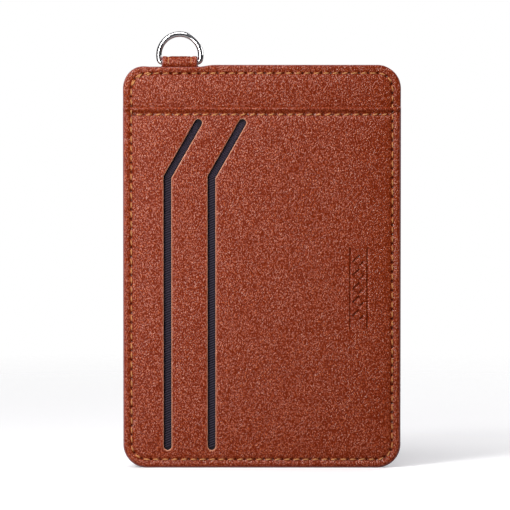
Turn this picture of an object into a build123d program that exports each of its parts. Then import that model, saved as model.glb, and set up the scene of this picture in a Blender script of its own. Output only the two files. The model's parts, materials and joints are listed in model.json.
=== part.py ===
"""Upright leather card holder with two diagonal card slots, an ID window and a key ring.

Frame: the holder stands on its bottom edge, +Z up, front towards -Y, +X to the right as the
front is seen. The origin is the middle of the bottom edge. Lengths are millimetres.
"""

import math
import os

from build123d import *

# ---- driving sizes --------------------------------------------------------------------
body_width = 80.0  # across the holder
body_height = 116.2  # bottom edge to top edge
corner_radius = 6.8  # outside corners of every full layer

# leather, board, cloth and film, each its own thickness
pocket_leather = 1.0  # front and back pocket panels
body_leather = 0.6  # the two full height panels behind them
board_thickness = 0.35  # stiffener boards
centre_cloth = 0.15  # lining of the centre pocket
slot_cloth = 0.2  # each of the two slot dividers
window_film = 0.25  # clear sheet behind the ID window
tab_leather = 0.8  # the strip round the ring
tab_skived = 0.5  # the same strip pared down inside the seam

# pockets
band_height = 12.0  # strip of body panel that shows above each pocket mouth
divider_setback = 1.0  # slot dividers stop this far below the mouth
film_setback = 12.0  # the film stops this far below the mouth

# diagonal slots of the front pocket panel
slot_width = 2.2
slot_edge_offset = 12.8  # left side of the holder to the first slot's upright part
slot_spacing = 12.7  # first slot to second slot
slot_foot = 5.1  # bottom edge to the lower end of each slot
slot_head = 3.6  # pocket mouth to the upper end of each slot
slot_bend = 20.3  # pocket mouth to the bend
slot_lean = 29.7  # degrees between the upper part and the upright
divider_overlap = 3.0  # outer divider passes the second slot by this much on its left

# ID window of the back pocket panel
window_side = 18.0  # side of the holder to the opening
window_foot = 10.0  # bottom edge to the opening
window_head = 20.0  # pocket mouth to the opening
window_radius = 4.0  # corners of the opening
mouth_fold_radius = 0.3  # rounding of both pocket mouths

# seams: stitches lie in a pressed channel, flush with the leather
seam_inset = 2.4  # outline to the seam
mouth_seam_inset = 2.3  # pocket mouth to its seam
window_seam_inset = 2.0  # window opening to its seam
channel_width = 0.8
thread_width = 0.45
thread_depth = 0.3  # also the depth of the channel
stitch_pitch = 2.7
stitch_length = 2.15

# D ring and its tab
ring_edge_offset = 16.36  # left side of the holder to the middle of the ring
ring_width = 13.65  # outside
ring_wire = 1.6  # diameter
ring_bar_rise = 0.8  # top edge to the axis of the straight bar
ring_bow_rise = 2.0  # axis of the bar to the centre of the round bow
ring_corner = 0.95  # bend from bar to bow, at the middle of the wire
bar_clearance = 0.08  # radial, bar in its tab
side_clearance = 0.12  # each end of the tab to the inside of the bow
ring_relief_depth = 0.6  # top edges are lowered here so that the ring can swing
ring_relief_margin = 0.5  # relief beyond each side of the ring
tab_depth = 12.0  # tab ends this far below the top edge
tab_thread_offset = 3.25  # each tack of the tab from its middle

# ---- places worked out from the sizes -------------------------------------------------
mouth_height = body_height - band_height
body_face = centre_cloth + board_thickness + body_leather  # centre plane to body panel's face
divider_split = body_face + slot_cloth  # centre plane to the face between the two dividers
pocket_back = divider_split + slot_cloth  # centre plane to the pocket panel's inner face
pocket_face = pocket_back + pocket_leather  # centre plane to the outermost face
film_back = pocket_back - window_film
seam_radius = corner_radius - seam_inset

first_slot = -body_width / 2 + slot_edge_offset
second_slot = first_slot + slot_spacing
slot_reach = (slot_bend - slot_head - slot_width / 2) / math.cos(math.radians(slot_lean))
slot_low_end = slot_foot + slot_width / 2
slot_bend_height = mouth_height - slot_bend

window_width = body_width - 2 * window_side
window_height = mouth_height - window_foot - window_head
window_middle = window_foot + window_height / 2

ring_middle = -body_width / 2 + ring_edge_offset
bar_height = body_height + ring_bar_rise
wire_radius = ring_wire / 2
bow_radius = ring_width / 2 - wire_radius  # to the middle of the wire
bow_height = bar_height + ring_bow_rise
relief_height = body_height - ring_relief_depth
relief_width = ring_width + 2 * ring_relief_margin
bore_radius = wire_radius + bar_clearance
tab_radius = bore_radius + tab_leather
corner_rise = ring_bow_rise - ring_corner
bar_half = math.sqrt((bow_radius - ring_corner) ** 2 - corner_rise**2)
tab_width = 2 * (bar_half + ring_corner - wire_radius - side_clearance)
tab_foot = body_height - tab_depth

FRONT, BACK = 1, -1  # a layer's side of the centre plane, counted towards the front

os.makedirs("parts", exist_ok=True)


def finish(piece, name):
    """Labels a piece and writes it."""
    piece.part.label = name
    export_step(piece.part, f"parts/{name}.step")


def layer_plane(side, inner, outer):
    """The sketch plane of a layer, from which it is extruded towards the front."""
    return Plane.XZ.offset(inner if side == FRONT else -outer)


def outline(inset=0.0):
    """The holder's rounded outline, moved inwards."""
    with Locations((0, body_height / 2)):
        RectangleRounded(
            body_width - 2 * inset, body_height - 2 * inset, corner_radius - inset
        )


def cut_above(height):
    """Takes away what the sketch has above a height."""
    with Locations((0, height)):
        Rectangle(
            body_width, body_height, align=(Align.CENTER, Align.MIN), mode=Mode.SUBTRACT
        )


def cut_below(height):
    """Takes away what the sketch has below a height."""
    with Locations((0, height)):
        Rectangle(
            body_width, body_height, align=(Align.CENTER, Align.MAX), mode=Mode.SUBTRACT
        )


def cut_ring_relief():
    """Lowers the top edge where the ring and its tab come out."""
    with Locations((ring_middle, relief_height)):
        Rectangle(
            relief_width, body_height, align=(Align.CENTER, Align.MIN), mode=Mode.SUBTRACT
        )


def cut_tab_room():
    """Opens an inner layer for the legs of the tab."""
    with Locations((ring_middle, tab_foot)):
        Rectangle(
            tab_width, body_height, align=(Align.CENTER, Align.MIN), mode=Mode.SUBTRACT
        )


def round_mouth(side):
    """Rounds the outer edge of a pocket's mouth, where the leather is folded over."""
    rim = edges().filter_by(Axis.X).group_by(Axis.Z)[-1].sort_by(Axis.Y)
    fillet(rim[0] if side == FRONT else rim[-1], radius=min(mouth_fold_radius, pocket_leather / 2))


def seam_channel():
    """The sketch of the pressed channel that runs round the outline."""
    outline(seam_inset - channel_width / 2)
    with Locations((0, body_height / 2)):
        inner = seam_inset + channel_width / 2
        RectangleRounded(
            body_width - 2 * inner,
            body_height - 2 * inner,
            corner_radius - inner,
            mode=Mode.SUBTRACT,
        )


def slot_shape(upright_x):
    """One slot of the front panel: an upright part and a part that leans to the right."""
    upright = slot_bend_height - slot_low_end
    with Locations((upright_x, slot_low_end + upright / 2)):
        SlotCenterToCenter(upright, slot_width, rotation=90)
    half_x = math.sin(math.radians(slot_lean)) * slot_reach / 2
    half_z = math.cos(math.radians(slot_lean)) * slot_reach / 2
    with Locations((upright_x + half_x, slot_bend_height + half_z)):
        SlotCenterToCenter(slot_reach, slot_width, rotation=90 - slot_lean)


def places_on(path, low=-math.inf, high=math.inf):
    """Stitch places along a closed path whose whole stitch lies between two heights."""
    count = round(path.length / stitch_pitch)
    places = []
    for number in range(count):
        distance = (number + 0.5) * path.length / count
        point = path.position_at(distance, position_mode=PositionMode.LENGTH)
        along = path.tangent_at(distance, position_mode=PositionMode.LENGTH)
        reach = abs(along.Y) * stitch_length / 2 + thread_width / 2
        if low <= point.Y - reach and point.Y + reach <= high:
            turn = math.degrees(math.atan2(along.Y, along.X))
            places.append(Location((point.X, point.Y, 0), (0, 0, turn)))
    return places


def rounded_path(width, height, middle, radius):
    """A closed rounded rectangle as a path, in the sketch's own coordinates."""
    return Pos(0, middle) * RectangleRounded(width, height, radius).wire()


def stitches(places):
    """The sketch of stitches at the given places."""
    with Locations(*places):
        SlotOverall(stitch_length, thread_width)


perimeter_path = rounded_path(
    body_width - 2 * seam_inset, body_height - 2 * seam_inset, body_height / 2, seam_radius
)
window_path = rounded_path(
    window_width + 2 * window_seam_inset,
    window_height + 2 * window_seam_inset,
    window_middle,
    window_radius + window_seam_inset,
)
mouth_seam_height = mouth_height - mouth_seam_inset
mouth_seam_width = body_width - 2 * (seam_inset + channel_width)


# ---- front pocket panel: leather with two slots ---------------------------------------
with BuildPart() as front_pocket_panel:
    with BuildSketch(layer_plane(FRONT, pocket_back, pocket_face)):
        outline()
        cut_above(mouth_height)
    extrude(amount=pocket_leather)
    round_mouth(FRONT)
    with BuildSketch(Plane.XZ.offset(pocket_back)):
        slot_shape(first_slot)
        slot_shape(second_slot)
    extrude(amount=pocket_leather, mode=Mode.SUBTRACT)
    with BuildSketch(Plane.XZ.offset(pocket_face)):
        seam_channel()
        with Locations((0, mouth_seam_height)):
            Rectangle(body_width - 2 * seam_inset, channel_width)
        cut_above(mouth_height)
    extrude(amount=-thread_depth, mode=Mode.SUBTRACT)
finish(front_pocket_panel, "front_pocket_panel")

# ---- slot dividers: twill behind the slots --------------------------------------------
with BuildPart() as slot_divider_outer:
    with BuildSketch(layer_plane(FRONT, divider_split, pocket_back)):
        outline()
        cut_above(mouth_height - divider_setback)
        with Locations((second_slot - slot_width / 2 - divider_overlap, 0)):
            Rectangle(
                body_width,
                2 * body_height,
                align=(Align.MAX, Align.CENTER),
                mode=Mode.SUBTRACT,
            )
    extrude(amount=slot_cloth)
finish(slot_divider_outer, "slot_divider_outer")

with BuildPart() as slot_divider_inner:
    with BuildSketch(layer_plane(FRONT, body_face, divider_split)):
        outline()
        cut_above(mouth_height - divider_setback)
    extrude(amount=slot_cloth)
finish(slot_divider_inner, "slot_divider_inner")

# ---- back pocket panel: leather with the ID window ------------------------------------
with BuildPart() as back_pocket_panel:
    with BuildSketch(layer_plane(BACK, pocket_back, pocket_face)):
        outline()
        cut_above(mouth_height)
        with Locations((0, window_middle)):
            RectangleRounded(
                window_width, window_height, window_radius, mode=Mode.SUBTRACT
            )
    extrude(amount=pocket_leather)
    round_mouth(BACK)
    with BuildSketch(Plane.XZ.offset(-pocket_face)):
        seam_channel()
        with Locations((0, mouth_seam_height)):
            Rectangle(body_width - 2 * seam_inset, channel_width)
        cut_above(mouth_height)
    extrude(amount=thread_depth, mode=Mode.SUBTRACT)
    with BuildSketch(Plane.XZ.offset(-pocket_face)):
        for inset, mode in ((channel_width / 2, Mode.ADD), (-channel_width / 2, Mode.SUBTRACT)):
            margin = window_seam_inset + inset
            with Locations((0, window_middle)):
                RectangleRounded(
                    window_width + 2 * margin,
                    window_height + 2 * margin,
                    window_radius + margin,
                    mode=mode,
                )
    extrude(amount=thread_depth, mode=Mode.SUBTRACT)
finish(back_pocket_panel, "back_pocket_panel")

with BuildPart() as window_pane:
    with BuildSketch(layer_plane(BACK, film_back, pocket_back)):
        outline()
        cut_above(mouth_height - film_setback)
    extrude(amount=window_film)
finish(window_pane, "window_pane")

with BuildPart() as id_pocket_lining:
    with BuildSketch(layer_plane(BACK, body_face, film_back)):
        outline()
        cut_above(mouth_height - divider_setback)
    extrude(amount=film_back - body_face)
finish(id_pocket_lining, "id_pocket_lining")

# ---- the two mirrored halves of the body: panel, board and centre lining --------------
for side, word in ((FRONT, "front"), (BACK, "back")):
    with BuildPart() as body_panel:
        with BuildSketch(layer_plane(side, body_face - body_leather, body_face)):
            outline()
            cut_ring_relief()
        extrude(amount=body_leather)
        with BuildSketch(Plane.XZ.offset(side * body_face)):
            seam_channel()
            cut_below(mouth_height)
            cut_ring_relief()
        extrude(amount=-side * thread_depth, mode=Mode.SUBTRACT)
    finish(body_panel, f"{word}_body_panel")

    with BuildPart() as stiffener:
        with BuildSketch(layer_plane(side, centre_cloth, centre_cloth + board_thickness)):
            outline()
            cut_ring_relief()
            cut_tab_room()
        extrude(amount=board_thickness)
    finish(stiffener, f"{word}_stiffener")

    with BuildPart() as centre_lining:
        with BuildSketch(layer_plane(side, 0, centre_cloth)):
            outline()
            cut_ring_relief()
            cut_tab_room()
        extrude(amount=centre_cloth)
    finish(centre_lining, f"centre_lining_{word}")

# ---- ring tab: a strip folded round the bar, its legs sewn between the halves ---------
def tab_section():
    """The tab seen from the side: a round loop that narrows to the pared legs."""
    with BuildLine() as contour:
        right = Polyline((tab_skived, tab_foot), (tab_skived, relief_height), (tab_radius, bar_height))
        CenterArc((0, bar_height), tab_radius, 0, 180)
        left = Polyline((-tab_radius, bar_height), (-tab_skived, relief_height), (-tab_skived, tab_foot))
        Line(left @ 1, right @ 0)
    make_face(contour.edges())


def tack_planes():
    """Where the two tacks of the tab start, each a thread's width of the tab's section."""
    for offset in (-tab_thread_offset, tab_thread_offset):
        yield Plane.YZ.offset(ring_middle + offset - thread_width / 2)


def tack_section():
    """The outer skin of the tab's section, from the top edge upwards."""
    tab_section()
    offset(amount=-thread_width / 2, mode=Mode.SUBTRACT)
    with Locations((0, relief_height + thread_width)):
        Rectangle(
            body_width, body_height, align=(Align.CENTER, Align.MAX), mode=Mode.SUBTRACT
        )


with BuildPart() as ring_tab:
    with BuildSketch(Plane.YZ.offset(ring_middle - tab_width / 2)):
        tab_section()
        with Locations((0, bar_height)):
            Circle(bore_radius, mode=Mode.SUBTRACT)
    extrude(amount=tab_width)
    for plane in tack_planes():
        with BuildSketch(plane):
            tack_section()
        extrude(amount=thread_width, mode=Mode.SUBTRACT)
finish(ring_tab, "ring_tab")

with BuildPart() as tab_thread:
    for plane in tack_planes():
        with BuildSketch(plane):
            tack_section()
        extrude(amount=thread_width)
finish(tab_thread, "tab_thread")

# ---- D ring: round wire, a straight bar and a round bow -------------------------------
with BuildPart() as d_ring:
    with BuildLine(Plane.XZ) as ring_path:
        lean_x = bar_half / (bow_radius - ring_corner)
        lean_z = corner_rise / (bow_radius - ring_corner)
        bow_x = bow_radius * lean_x
        bow_z = bow_height - bow_radius * lean_z
        bar_right = Line((ring_middle, bar_height), (ring_middle + bar_half, bar_height))
        corner_right = TangentArc(bar_right @ 1, (ring_middle + bow_x, bow_z), tangent=(1, 0))
        bow = ThreePointArc(
            corner_right @ 1,
            (ring_middle, bow_height + bow_radius),
            (ring_middle - bow_x, bow_z),
        )
        corner_left = TangentArc(
            bow @ 1, (ring_middle - bar_half, bar_height), tangent=bow % 1
        )
        Line(corner_left @ 1, bar_right @ 0)
    with BuildSketch(Plane(origin=(ring_middle, 0, bar_height), z_dir=(1, 0, 0))):
        Circle(wire_radius)
    sweep()
finish(d_ring, "d_ring")

# ---- threads: groups of stitches, flush in their channels -----------------------------
for side, name in ((FRONT, "perimeter_needle_thread"), (BACK, "perimeter_bobbin_thread")):
    with BuildPart() as perimeter_thread:
        with BuildSketch(layer_plane(side, pocket_face - thread_depth, pocket_face)):
            stitches(places_on(perimeter_path, high=mouth_height))
        extrude(amount=thread_depth)
        with BuildSketch(layer_plane(side, body_face - thread_depth, body_face)):
            stitches(places_on(perimeter_path, low=mouth_height))
        extrude(amount=thread_depth)
    finish(perimeter_thread, name)

for side, name in ((FRONT, "front_mouth_thread"), (BACK, "back_mouth_thread")):
    with BuildPart() as mouth_thread:
        with BuildSketch(layer_plane(side, pocket_face - thread_depth, pocket_face)):
            count = math.floor(mouth_seam_width / stitch_pitch)
            with Locations((0, mouth_seam_height)):
                with GridLocations(stitch_pitch, stitch_pitch, count, 1):
                    SlotOverall(stitch_length, thread_width)
        extrude(amount=thread_depth)
    finish(mouth_thread, name)

with BuildPart() as window_thread:
    with BuildSketch(layer_plane(BACK, pocket_face - thread_depth, pocket_face)):
        stitches(places_on(window_path))
    extrude(amount=thread_depth)
finish(window_thread, "window_thread")
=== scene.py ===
"""Looks of the upright leather card holder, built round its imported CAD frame.

The frame is in metres, +Z up, the front with the two slots towards -Y. The mesh work below is
done in millimetres and turned into metres when a mesh is made.
"""

import json
import math

import bmesh
import bpy
import numpy as np
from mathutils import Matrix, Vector
from mathutils.geometry import delaunay_2d_cdt


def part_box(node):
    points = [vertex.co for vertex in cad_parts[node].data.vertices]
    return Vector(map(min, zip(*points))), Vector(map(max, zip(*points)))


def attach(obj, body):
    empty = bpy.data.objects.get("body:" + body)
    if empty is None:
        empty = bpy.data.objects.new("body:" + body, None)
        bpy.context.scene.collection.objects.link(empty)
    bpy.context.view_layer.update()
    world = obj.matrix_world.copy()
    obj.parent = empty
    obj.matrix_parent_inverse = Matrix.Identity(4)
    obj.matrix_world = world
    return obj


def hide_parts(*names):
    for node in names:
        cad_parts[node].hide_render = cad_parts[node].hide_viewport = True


bl_info = {
    "name": "Leather card holder",
    "version": (1, 0, 0),
    "blender": (4, 5, 0),
    "location": "View3D > Sidebar > Card holder",
    "description": "Builds the leather, cloth, thread and ring of an upright card holder",
    "category": "Add Mesh",
}

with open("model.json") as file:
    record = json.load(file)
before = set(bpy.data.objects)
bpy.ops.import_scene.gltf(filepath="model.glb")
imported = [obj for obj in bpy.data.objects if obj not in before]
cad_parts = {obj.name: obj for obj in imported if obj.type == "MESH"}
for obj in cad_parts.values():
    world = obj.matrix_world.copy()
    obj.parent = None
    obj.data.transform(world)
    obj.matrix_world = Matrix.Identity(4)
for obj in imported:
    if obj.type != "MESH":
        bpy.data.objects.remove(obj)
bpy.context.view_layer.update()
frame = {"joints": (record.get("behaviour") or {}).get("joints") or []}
MM = 0.001
FRONT, BACK = -1.0, 1.0  # which way a side faces along Y


def box_mm(node):
    """A CAD node's lowest and highest corner in millimetres."""
    low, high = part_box(node)
    return np.array(low) / MM, np.array(high) / MM


POCKET_LOW, POCKET_HIGH = box_mm("front_pocket_panel")
BODY_LOW, BODY_HIGH = box_mm("front_body_panel")
TAB_LOW, TAB_HIGH = box_mm("ring_tab")
RING_LOW, RING_HIGH = box_mm("d_ring")
HALF_WIDTH = POCKET_HIGH[0]
MOUTH = POCKET_HIGH[2]
TOP = BODY_HIGH[2]
POCKET_FACE, POCKET_BACK = -POCKET_LOW[1], -POCKET_HIGH[1]
BODY_FACE, BODY_BACK = -BODY_LOW[1], -BODY_HIGH[1]
RING_X = (RING_LOW[0] + RING_HIGH[0]) / 2
BAR_HEIGHT = frame["joints"][0]["pos_m"][2] / MM


# ---- sizes and colours that a user would change ----------------------------------------
def length(name, default_mm, description):
    """A length property whose default is given in millimetres."""
    return bpy.props.FloatProperty(
        name=name, description=description, default=default_mm * MM, min=0.0,
        precision=5, subtype="DISTANCE", unit="LENGTH",
    )


def colour(name, default, description):
    """A linear colour property."""
    return bpy.props.FloatVectorProperty(
        name=name, description=description, default=default, size=3, min=0.0, max=1.0,
        subtype="COLOR",
    )


def angle(name, degrees, description):
    """An angle property whose default is given in degrees."""
    return bpy.props.FloatProperty(
        name=name, description=description, default=math.radians(degrees),
        subtype="ANGLE", unit="ROTATION",
    )


class LeatherSettings(bpy.types.PropertyGroup):
    """Panels of the holder."""

    colour: colour("Leather", (0.315, 0.039, 0.0030), "Colour of the grain's tops")
    # Darker down in the grain: partly the leather's own tone and partly painted shade in the creases.
    crease_shade: colour("Crease", (0.150, 0.0140, 0.0012), "Colour down in the grain")
    # Painted highlight: the grain's highest tops are painted towards this lighter, paler colour as glints.
    shine: colour("Rubbed", (0.68, 0.19, 0.055), "Colour of the rubbed tops of the grain")
    paint: colour("Edge paint", (0.24, 0.075, 0.072), "Colour of the painted cut edges")
    raw: colour("Cut edge", (0.62, 0.29, 0.18), "Colour of the unpainted edge of a slot")
    corner: length("Corner radius", 6.8, "Outside corners of the holder")
    grain: length("Grain", 0.40, "Size of one pebble of the grain")
    roll: length("Edge roll", 0.6, "Rounding of the pocket panels' outside edges")
    lip: length("Slot lip", 0.3, "Rounding of the slots' and the window's edges")
    pillow: length("Pillow", 0.5, "How far the panels swell between their seams")


class SlotSettings(bpy.types.PropertyGroup):
    """The two bent slots of the front pocket panel."""

    width: length("Width", 2.2, "Width of a slot")
    offset: length("Offset", 12.8, "Left side of the holder to the first slot")
    spacing: length("Spacing", 12.7, "First slot to second slot")
    foot: length("Foot", 5.1, "Bottom edge to a slot's lower end")
    head: length("Head", 3.6, "Pocket mouth to a slot's upper end")
    bend: length("Bend", 20.3, "Pocket mouth to a slot's bend")
    lean: angle("Lean", 29.7, "Upper part of a slot to the upright")


class ThreadSettings(bpy.types.PropertyGroup):
    """Seams and their thread."""

    colour: colour("Thread", (0.60, 0.25, 0.085), "Colour of the thread")
    pitch: length("Pitch", 2.7, "Needle hole to needle hole")
    stitch: length("Stitch", 1.95, "Visible length of a stitch")
    thickness: length("Thickness", 0.42, "Thickness of the thread")
    inset: length("Inset", 2.4, "Outline to the perimeter seam")
    mouth_inset: length("Mouth inset", 2.3, "Pocket mouth to its seam")
    window_inset: length("Window inset", 2.0, "Window opening to its seam")
    slant: angle("Slant", 14, "Turn of each stitch across its seam")


class ClothSettings(bpy.types.PropertyGroup):
    """Linings and boards between the leather panels."""

    colour: colour("Twill", (0.0044, 0.0033, 0.0054), "Colour of the ribbed lining")
    board: colour("Board", (0.30, 0.17, 0.09), "Colour of the stiffener boards")
    rib: length("Rib", 0.7, "Rib to rib of the twill")
    inset: length("Inset", 0.5, "Outline to the linings' edges")


class RingSettings(bpy.types.PropertyGroup):
    """The D ring."""

    colour: colour("Chrome", (0.80, 0.80, 0.82), "Colour of the plating")
    corner: length("Corner", 0.95, "Bend between bar and bow, at the middle of the wire")


class StageSettings(bpy.types.PropertyGroup):
    """Camera and floor."""

    distance: length("Distance", 1000.0, "Camera to the holder")
    width: length("View width", 147.2, "What the camera sees across at the holder")
    aim_x: bpy.props.FloatProperty(
        name="Aim X", description="Point that the camera looks at", default=-0.0020, unit="LENGTH"
    )
    aim_z: length("Aim height", 61.4, "Height of the point that the camera looks at")
    elevation: angle("Elevation", 2.5, "Camera above the level")


SETTINGS = {
    "holder_leather": LeatherSettings,
    "holder_slots": SlotSettings,
    "holder_thread": ThreadSettings,
    "holder_cloth": ClothSettings,
    "holder_ring": RingSettings,
    "holder_stage": StageSettings,
}


def setting(group, name):
    """A length of the sidebar's settings in millimetres."""
    return getattr(getattr(bpy.context.scene, "holder_" + group), name) / MM


def setting_value(group, name):
    """A colour, angle or plain number of the sidebar's settings."""
    return getattr(getattr(bpy.context.scene, "holder_" + group), name)


# ---- outlines and distances, in millimetres --------------------------------------------
def subdivided(points, step, closed=True):
    """Points added along straight runs so that none is longer than the step."""
    points = np.asarray(points, float)
    ends = np.roll(points, -1, axis=0) if closed else points[1:]
    made = []
    for start, end in zip(points, ends):
        count = max(1, math.ceil(np.hypot(*(end - start)) / step))
        made += [start + (end - start) * k / count for k in range(count)]
    if not closed:
        made.append(points[-1])
    return np.array(made)


def rounded_loop(low, high, radii, step):
    """A rectangle with four rounded corners, anticlockwise from the lower left."""
    signs = ((1, 1), (-1, 1), (-1, -1), (1, -1))
    corners = ((low[0], low[1]), (high[0], low[1]), (high[0], high[1]), (low[0], high[1]))
    points = []
    for k, (corner, sign, radius) in enumerate(zip(corners, signs, radii)):
        if radius <= 0:
            points.append(corner)
            continue
        count = max(3, math.ceil(radius * math.pi / 2 / step))
        for turn in np.linspace(math.pi + k * math.pi / 2, math.pi * 1.5 + k * math.pi / 2, count + 1):
            points.append((
                corner[0] + sign[0] * radius + radius * math.cos(turn),
                corner[1] + sign[1] * radius + radius * math.sin(turn),
            ))
    return subdivided(points, step)


def outline_loop(inset, step, top=None):
    """The holder's outline moved inwards, cut straight at a pocket mouth if top is given."""
    corner = max(setting("leather", "corner") - inset, 0.05)
    upper = 0.0 if top is not None else corner
    high = (top if top is not None else TOP) - inset
    return rounded_loop(
        (-HALF_WIDTH + inset, inset), (HALF_WIDTH - inset, high), (corner, corner, upper, upper), step
    )


def rectangle_depth(x, z, low, high, radius):
    """How far points are inside a rounded rectangle."""
    middle = ((low[0] + high[0]) / 2, (low[1] + high[1]) / 2)
    from_x = np.abs(x - middle[0]) - (high[0] - low[0]) / 2 + radius
    from_z = np.abs(z - middle[1]) - (high[1] - low[1]) / 2 + radius
    outside = np.hypot(np.maximum(from_x, 0), np.maximum(from_z, 0))
    return radius - outside - np.minimum(np.maximum(from_x, from_z), 0)


def outline_depth(x, z):
    """How far points are inside the holder's outline."""
    return rectangle_depth(x, z, (-HALF_WIDTH, 0), (HALF_WIDTH, TOP), setting("leather", "corner"))


def window_corners(margin=0.0):
    """Lowest and highest corner of the ID window, and its corner radius, grown by a margin."""
    low, high = box_mm("window_thread")
    grow = margin - setting("thread", "window_inset") - WINDOW_THREAD_HALF
    return (low[0] - grow, low[2] - grow), (high[0] + grow, high[2] + grow), WINDOW_RADIUS + margin


WINDOW_THREAD_HALF = 0.225  # half the thickness of the CAD thread round the window
WINDOW_RADIUS = 4.0


def window_distance(x, z):
    """How far points are outside the window opening."""
    low, high, radius = window_corners()
    return -rectangle_depth(x, z, low, high, radius)


def slot_path(index):
    """Foot, bend and head of a slot's middle line."""
    x = -HALF_WIDTH + setting("slots", "offset") + index * setting("slots", "spacing")
    half = setting("slots", "width") / 2
    lean = setting_value("slots", "lean")
    rise = setting("slots", "bend") - setting("slots", "head") - half
    bend = MOUTH - setting("slots", "bend")
    return np.array([
        (x, setting("slots", "foot") + half), (x, bend), (x + rise * math.tan(lean), bend + rise)
    ])


def segment_distance(x, z, start, end):
    """Distance of points from a straight piece."""
    run = end - start
    share = np.clip(((x - start[0]) * run[0] + (z - start[1]) * run[1]) / (run @ run), 0, 1)
    return np.hypot(x - start[0] - share * run[0], z - start[1] - share * run[1])


def slot_distance(x, z):
    """How far points are outside both slots."""
    nearest = np.full(np.shape(x), 1e3)
    for index in (0, 1):
        foot, bend, head = slot_path(index)
        nearest = np.minimum(nearest, segment_distance(x, z, foot, bend))
        nearest = np.minimum(nearest, segment_distance(x, z, bend, head))
    return nearest - setting("slots", "width") / 2


def arc(centre, radius, start, end, step):
    """Points of an arc between two angles."""
    count = max(3, math.ceil(abs(end - start) * radius / step))
    return [
        (centre[0] + radius * math.cos(a), centre[1] + radius * math.sin(a))
        for a in np.linspace(start, end, count + 1)
    ]


def slot_loop(index, grow, step):
    """The edge of a slot, moved outwards into the leather, anticlockwise."""
    foot, bend, head = slot_path(index)
    radius = setting("slots", "width") / 2 + grow
    lean = setting_value("slots", "lean")
    right_low, right_high = np.array((1.0, 0.0)), np.array((math.cos(lean), -math.sin(lean)))
    inner = bend + radius * (right_low + right_high) / (1 + right_low @ right_high)
    points = arc(foot, radius, -math.pi, 0, step) + [tuple(inner)]
    points += arc(head, radius, -lean, math.pi - lean, step)
    points += arc(bend, radius, math.pi - lean, math.pi, step)
    return subdivided(points, step)


# ---- seams -----------------------------------------------------------------------------
def arc_length(points, closed):
    """Running length along a polyline, and its whole length."""
    ends = np.roll(points, -1, axis=0) if closed else points[1:]
    steps = np.hypot(*(ends - points[: len(ends)]).T)
    return np.concatenate([[0], np.cumsum(steps)])


def along(points, distances, closed):
    """Points at distances along a polyline."""
    run = arc_length(points, closed)
    path = np.vstack([points, points[:1]]) if closed else points
    return np.column_stack([np.interp(distances, run, path[:, k]) for k in range(path.shape[1])])


def perimeter_seam():
    """The closed line of the perimeter seam."""
    return outline_loop(setting("thread", "inset"), 0.4)


def window_seam():
    """The closed line of the seam round the window."""
    low, high, radius = window_corners(setting("thread", "window_inset"))
    return rounded_loop(low, high, (radius,) * 4, 0.4)


def mouth_seam():
    """The straight line of the seam below a pocket mouth."""
    reach = HALF_WIDTH - setting("thread", "inset") - 1.0
    height = MOUTH - setting("thread", "mouth_inset")
    return subdivided([(-reach, height), (reach, height)], 0.4, closed=False)


def stitch_count(points, closed):
    """Whole stitches that fit a seam."""
    return round(arc_length(points, closed)[-1] / setting("thread", "pitch"))


def needle_holes(points, closed):
    """Where the needle went through: halfway between the middles of the stitches."""
    count = stitch_count(points, closed)
    total = arc_length(points, closed)[-1]
    return along(points, np.arange(count + (0 if closed else 1)) * total / count, closed)


def seam_distance(x, z, points, closed):
    """Distance of points from a seam's line."""
    ends = np.roll(points, -1, axis=0) if closed else points[1:]
    nearest = np.full(np.shape(x), 1e3)
    for start, end in zip(points[: len(ends)][::3], np.roll(points, -3, axis=0)[: len(ends)][::3]):
        if closed or end[0] > start[0]:
            nearest = np.minimum(nearest, segment_distance(x, z, start, end))
    return nearest


# ---- relief of the leather faces -------------------------------------------------------
def roll(depth, radius):
    """How far a rounded edge falls away at a depth inside it."""
    share = np.clip(1 - depth / radius, 0, 1)
    return radius * (1 - np.sqrt(1 - share**2 * 0.999))


def bell(distance, width):
    """A smooth bump of height one."""
    return np.exp(-((distance / width) ** 2))


def smooth_step(value):
    """Rises smoothly from nought to one."""
    share = np.clip(value, 0, 1)
    return share * share * (3 - 2 * share)


def holes_relief(x, z, holes):
    """Dimples pulled in at the needle holes."""
    fall = np.zeros(np.shape(x))
    for hole_x, hole_z in holes:
        near = (np.abs(x - hole_x) < 1.2) & (np.abs(z - hole_z) < 1.2)
        distance = np.hypot(x[near] - hole_x, z[near] - hole_z)
        fall[near] += 0.55 * bell(distance, 0.28) + 0.09 * bell(distance, 0.7)
    return fall


def seam_relief(x, z, seam, closed):
    """The pressed line of a seam with its needle holes."""
    channel = 0.15 * bell(seam_distance(x, z, seam, closed), 0.42)
    return channel + holes_relief(x, z, needle_holes(seam, closed))


def pierced(x, z, *lines):
    """How much painted shade darkens a point's colour in the needle holes of some seams."""
    dark = [holes_relief(x, z, needle_holes(seam, closed)) * 2.2 - 0.12 for seam, closed in lines]
    return np.clip(np.max(dark, axis=0), 0, 1)


def swell(depth_in_seam):
    """The panel's gentle rise away from its seam."""
    return setting("leather", "pillow") * (1 - np.exp(-np.maximum(depth_in_seam, 0) / 4.0))


def unevenness(x, z):
    """Slow waves of the leather, a few hundredths of a millimetre high."""
    return 0.018 * np.sin(x * 0.21 + 1.3 * np.sin(z * 0.083)) + 0.016 * np.sin(z * 0.16 - x * 0.07)


def motif_mask(x, z):
    """A plain pressed row of lozenges between two fine lines, on the right of the front."""
    u, v = x - MOTIF[0], z - MOTIF[1]
    spacing, stroke = 3.9, 0.27
    nearest = np.abs(v / spacing - np.round(v / spacing)) * spacing
    lozenge = np.abs(np.abs(u) / 1.55 + nearest / 1.45 - 1) * 1.06
    row = smooth_step((stroke + 0.14 - lozenge) / 0.2) * (np.abs(v) < spacing * 2.5)
    lines = smooth_step((stroke + 0.1 - np.abs(np.abs(u) - 2.5)) / 0.2)
    lines *= smooth_step((11.9 - np.abs(v)) / 0.3)
    return np.maximum(row, lines)


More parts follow.
